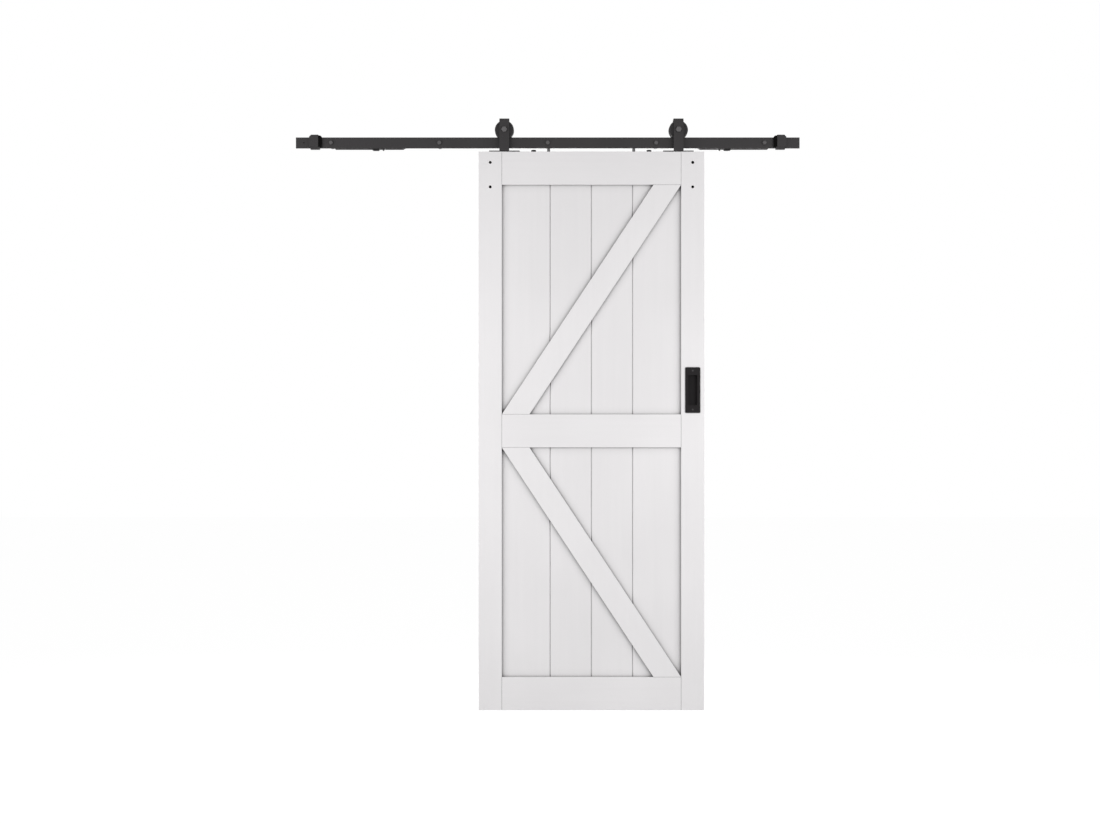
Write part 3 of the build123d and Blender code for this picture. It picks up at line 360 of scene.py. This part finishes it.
def plated_steel(name, dark, light, roughness):
    """Plated steel with fine turning lines."""
    shader = Shader(name, roughness=roughness, metallic=1.0)
    lines = shader.noise(shader.stretched((400.0, 40.0, 400.0)), scale=1.0, detail=2.0)
    shader.feed("Base Color", shader.two_tones(lines, dark, light, start=0.3, end=0.8))
    shader.grained(lines, roughness - 0.08, roughness + 0.12, depth=0.00004, strength=0.4)
    return shader.material


def moulded(name, dark, light, roughness=0.55, specular=0.25):
    """Moulded plastic or rubber with a fine grain."""
    shader = Shader(name, roughness=roughness, specular=specular)
    grain = shader.noise(shader.place, scale=1400.0, detail=1.0)
    cloud = shader.noise(shader.place, scale=30.0, detail=2.0)
    mixed = shader.plus(cloud, grain, weight=0.25)
    shader.feed("Base Color", shader.two_tones(mixed, dark, light, start=0.35, end=0.9))
    shader.grained(grain, roughness - 0.07, roughness + 0.1, depth=0.00005, strength=0.5)
    return shader.material


# Camera, surroundings, lamps and floor


def add_camera():
    """Camera that stands where the photo was taken from."""
    data = bpy.data.cameras.new("camera")
    data.sensor_width = SENSOR_MM
    data.lens = FOCAL_PX * SENSOR_MM / IMAGE_WIDTH_PX
    data.clip_start, data.clip_end = CLIP_NEAR, CLIP_FAR
    camera = bpy.data.objects.new("camera", data)
    camera.location = CAMERA_PLACE
    camera.rotation_euler = (math.radians(90), 0, 0)
    bpy.context.scene.collection.objects.link(camera)
    bpy.context.scene.camera = camera


def add_world():
    """Surroundings that show white and give a plain soft light."""
    world = bpy.data.worlds.new("surroundings")
    bpy.context.scene.world = world
    world.use_nodes = True
    tree = world.node_tree
    lighting = tree.nodes["Background"]
    connect(tree, lighting, {"Color": WHITE, "Strength": WORLD_LIGHT})
    shown = add_node(tree, "ShaderNodeBackground", {"Color": WHITE, "Strength": WORLD_SHOWN})
    surface = shown_apart(tree, lighting.outputs["Background"], shown.outputs["Background"])
    tree.links.new(surface, tree.nodes["World Output"].inputs["Surface"])


def add_light(name, place, target, width, height, power):
    """Rectangular lamp that faces a target and doesn't show itself."""
    data = bpy.data.lights.new(name, "AREA")
    data.shape = "RECTANGLE"
    data.size, data.size_y = width, height
    data.energy = power
    light = bpy.data.objects.new(name, data)
    light.location = place
    light.visible_camera = False
    aim = Vector(target) - Vector(place)
    light.rotation_euler = aim.to_track_quat("-Z", "Y").to_euler()
    bpy.context.scene.collection.objects.link(light)


def add_lamps():
    """Lamps in front of the leaf and behind it."""
    for name, x in FRONT_LAMP_XS.items():
        place = (x, FRONT_LAMP_Y, FRONT_LAMP_Z)
        add_light(name, place, FRONT_LAMP_AIM, FRONT_LAMP_WIDTH, FRONT_LAMP_HEIGHT, FRONT_LAMP_POWER)
    add_light("back", BACK_LAMP_PLACE, BACK_LAMP_AIM, BACK_LAMP_SIDE, BACK_LAMP_SIDE, BACK_LAMP_POWER)


def floor_paint():
    """Grey in the light it throws back, and white with a faint shadow where it shows."""
    shader = Shader("floor_paint", roughness=0.9, specular=0.0)
    tree = shader.tree
    cloud = shader.noise(shader.place, scale=6.0)
    shader.feed("Base Color", shader.two_tones(cloud, FLOOR_DARK, FLOOR_LIGHT, start=0.3, end=0.7))
    shade = add_node(tree, "ShaderNodeBsdfDiffuse", {"Color": (FLOOR_SHADE, FLOOR_SHADE, FLOOR_SHADE, 1)})
    glow = add_node(tree, "ShaderNodeEmission", {"Strength": FLOOR_GLOW})
    layers = {0: shade.outputs["BSDF"], 1: glow.outputs["Emission"]}
    shown = add_node(tree, "ShaderNodeAddShader", layers)
    surface = shown_apart(tree, shader.bsdf.outputs["BSDF"], shown.outputs["Shader"])
    tree.links.new(surface, tree.nodes["Material Output"].inputs["Surface"])
    return shader.material


def add_floor():
    """Pale floor under the door."""
    mesh = bpy.data.meshes.new("floor")
    half = FLOOR_HALF
    corners = [(-half, -half), (half, -half), (half, half), (-half, half)]
    mesh.from_pydata([(x, y, FLOOR_Z) for x, y in corners], [], [(0, 1, 2, 3)])
    mesh.materials.append(floor_paint())
    floor = bpy.data.objects.new("floor", mesh)
    bpy.context.scene.collection.objects.link(floor)


# Coils of the soft-close springs


def coil_points(start, end, mid_y, mid_z, radius):
    """Points of a coil along X, with about COIL_PITCH from turn to turn."""
    steps = round((end - start) / COIL_PITCH) * COIL_STEPS
    points = []
    for i in range(steps + 1):
        angle = math.tau * i / COIL_STEPS
        x = start + (end - start) * i / steps
        points.append((x, mid_y + radius * math.sin(angle), mid_z + radius * math.cos(angle)))
    return points


def wire_mesh(name, points):
    """Mesh of a round wire through some points."""
    curve = bpy.data.curves.new(name, "CURVE")
    curve.dimensions = "3D"
    curve.bevel_depth = WIRE_R
    curve.bevel_resolution = 1
    curve.use_fill_caps = True
    spline = curve.splines.new("POLY")
    spline.points.add(len(points) - 1)
    for place, point in zip(points, spline.points):
        point.co = (*place, 1)
    path = bpy.data.objects.new("coil_path", curve)
    mesh = bpy.data.meshes.new_from_object(path)
    bpy.data.objects.remove(path)
    return mesh


def add_spring(side):
    """Coil with two straight tails, which runs between the cap and the slider."""
    node = side + "_soft_close_spring"
    low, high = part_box(node)
    mid_y, mid_z = (low[1] + high[1]) / 2, (low[2] + high[2]) / 2
    radius = (high[1] - low[1]) / 2 - WIRE_R
    start, end = low[0] + TAIL + WIRE_R, high[0] - TAIL - WIRE_R
    ends = [(start, mid_y, mid_z), (end, mid_y, mid_z)]
    coil = coil_points(start, end, mid_y, mid_z, radius)
    points = [(low[0], mid_y, mid_z), ends[0], *coil, ends[1], (high[0], mid_y, mid_z)]
    spring = bpy.data.objects.new(node + "_coil", wire_mesh(node + "_coil", points))
    bpy.context.scene.collection.objects.link(spring)
    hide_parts(node)
    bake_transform(spring)
    return spring


# Wall bolts with their threads


def core_mesh():
    """Wall bolts with their shanks taken down to the thread's root."""
    mesh = NODES["wall_bolts"].data.copy()
    for vertex in mesh.vertices:
        x, y, z = vertex.co
        axis = min(BOLT_XS, key=lambda bolt_x: abs(bolt_x - x))
        radius = math.hypot(x - axis, z)
        if y > -FACE_SLACK and radius > THREAD_CREST_R - SHANK_SLACK:
            shrink = THREAD_ROOT_R / radius
            vertex.co = (axis + (x - axis) * shrink, y, z * shrink)
    return mesh


def ridge_ring(x, turn):
    """Corners of the thread's ridge at a number of turns from the wall's face."""
    angle = math.tau * turn
    y = RIDGE_FOOT + turn * THREAD_PITCH
    root = THREAD_ROOT_R * min(1, (TIP_END - y) / (TIP_END - THREAD_END))
    crest = root + (THREAD_CREST_R - THREAD_ROOT_R) * min(1, turn, (TIP_END - y) / THREAD_PITCH)
    foot = root * RIDGE_SINK
    ring = []
    for shift, radius in (
        (-RIDGE_FOOT, foot), (-RIDGE_CREST, crest), (RIDGE_CREST, crest), (RIDGE_FOOT, foot)
    ):
        ring.append((x + radius * math.cos(angle), y + shift, radius * math.sin(angle)))
    return ring


def ridge_faces(base, steps):
    """Faces between the rings of one ridge and over its two ends, from its first point's number."""
    count = RIDGE_CORNERS
    faces = []
    for i in range(steps):
        a, b = base + count * i, base + count * (i + 1)
        faces += [(a + k, a + (k + 1) % count, b + (k + 1) % count, b + k) for k in range(count)]
    first_ring = range(base, base + count)
    last_ring = range(base + count * steps, base + count * (steps + 1))
    return faces + [tuple(reversed(first_ring)), tuple(last_ring)]


def thread_mesh():
    """Ridges of all the threads."""
    turns = (TIP_END - 2 * RIDGE_FOOT) / THREAD_PITCH
    steps = int(turns * THREAD_STEPS)
    verts, faces = [], []
    for x in BOLT_XS:
        faces += ridge_faces(len(verts), steps)
        for i in range(steps + 1):
            verts += ridge_ring(x, i / THREAD_STEPS)
    mesh = bpy.data.meshes.new("wall_bolt_threads")
    mesh.from_pydata(verts, [], faces)
    mesh.validate()
    return mesh


def add_threads():
    """Wall bolts with a real thread in place of the plain ones."""
    cores = bpy.data.objects.new("wall_bolt_cores", core_mesh())
    threads = bpy.data.objects.new("wall_bolt_threads", thread_mesh())
    for piece in (cores, threads):
        bpy.context.scene.collection.objects.link(piece)
        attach(piece, "track")
    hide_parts("wall_bolts")
    return cores, threads


# Materials of the pieces


def cover(piece, material):
    """Gives a piece one material alone."""
    piece.data.materials.clear()
    piece.data.materials.append(material)


def dress(names, material):
    """Gives some nodes one material."""
    for name in names:
        cover(NODES[name], material)


def dress_boards():
    """White boards: the planks in a darker copy of the paint as painted shade, and the frame's boards
    with painted shade in the fine joint lines between them.
    """
    # Darker copy of the board paint on the planks, as painted shade
    plank = painted_wood("white_paint_plank", UPRIGHT, PLANK_DARK, PLANK_LIGHT)
    brace = painted_wood("white_paint_brace", UPRIGHT)
    stile = painted_wood("white_paint_stile", UPRIGHT, joints=True, bores=True)
    level = painted_wood("white_paint_level", LEVEL, joints=True)
    dress([f"{half}_plank_{i}" for half in ("upper", "lower") for i in range(1, 5)], plank)
    dress(["upper_brace", "lower_brace"], brace)
    dress(both("stile"), stile)
    dress(["top_rail", "mid_rail", "bottom_rail"], level)


def dress_black_steel():
    """Coated flat steel of the rail, wall fixings, stops, channels, hangers and trigger plates."""
    coat = powder_coat("black_coat", dark=(44, 42, 43), light=(50, 48, 49))
    dress(["track_rail", "wall_spacers", "wall_washers", "trigger_plates"], coat)
    dress(both("hanger_strap", "soft_close_channel", "stop_block"), coat)


def dress_bolts():
    """Wall bolts, axle bolts and nuts, which shine more than the flat steel."""
    bolt = powder_coat("bolt_coat", dark=(78, 76, 77), light=(92, 90, 91), roughness=0.42)
    for piece in add_threads():
        cover(piece, bolt)
    axle = powder_coat("axle_coat", dark=(92, 90, 91), light=(108, 106, 107), roughness=0.42)
    dress(["axle_bolts", "axle_nuts"], axle)


def dress_plated_steel():
    """Zinc-plated screws, bearing parts, dampers and springs."""
    steel = plated_steel("zinc_plate", dark=(150, 150, 154), light=(186, 186, 190), roughness=0.32)
    dress(["stop_set_screws", "soft_close_screws", "frame_screws", "door_top_screws"], steel)
    dress(["axle_bushings", "bearing_inner_rings"], steel)
    dress(both("bearing_outer_ring", "damper_rod", "damper_cylinder"), steel)
    for side in SIDES:
        cover(add_spring(side), steel)


def dress_trigger_pins():
    """Pins in a dull grey."""
    grey = powder_coat(
        "pin_coat", dark=(134, 133, 134), light=(148, 147, 148), roughness=0.6, specular=0.2
    )
    dress(["trigger_pins"], grey)


def dress_wheels():
    """Nylon rollers."""
    nylon = moulded("wheel_nylon", dark=(42, 40, 41), light=(50, 48, 49), roughness=0.45, specular=0.3)
    dress(both("wheel"), nylon)


def dress_soft_close_plastic():
    """Caps, sliders and claws of the soft-close units."""
    plastic = moulded("black_plastic", dark=(26, 25, 26), light=(34, 32, 33))
    dress(both("channel_end_caps", "slider", "claw", "claw_finger"), plastic)


def dress_discs():
    """Dull black discs on the leaf's top."""
    disc = moulded("disc_nylon", dark=(16, 15, 16), light=(22, 21, 22), roughness=0.7, specular=0.07)
    dress(["anti_jump_discs"], disc)


def dress_bumpers():
    """Rubber of the end stops."""
    rubber = moulded("bumper_rubber", dark=(9, 8, 8), light=(13, 12, 12), roughness=0.8, specular=0.05)
    dress(both("stop_bumper"), rubber)


def dress_screw_caps():
    """White plugs over the frame's screws."""
    dress(["frame_screw_caps"], moulded("cap_plastic", dark=(224, 223, 223), light=(234, 233, 233)))


def dress_pull():
    """Black pull, and its two screws a little lighter."""
    pull = powder_coat("pull_coat", dark=(29, 27, 28), light=(35, 33, 34), specular=0.1)
    dress(["flush_pull"], pull)
    screw = powder_coat("pull_screw_coat", dark=(48, 46, 47), light=(56, 54, 55))
    dress(["flush_pull_screws"], screw)


add_camera()
add_world()
add_lamps()
add_floor()
dress_boards()
dress_black_steel()
dress_bolts()
dress_plated_steel()
dress_trigger_pins()
dress_wheels()
dress_soft_close_plastic()
dress_discs()
dress_bumpers()
dress_screw_caps()
dress_pull()
bpy.context.scene.view_settings.view_transform = "Standard"
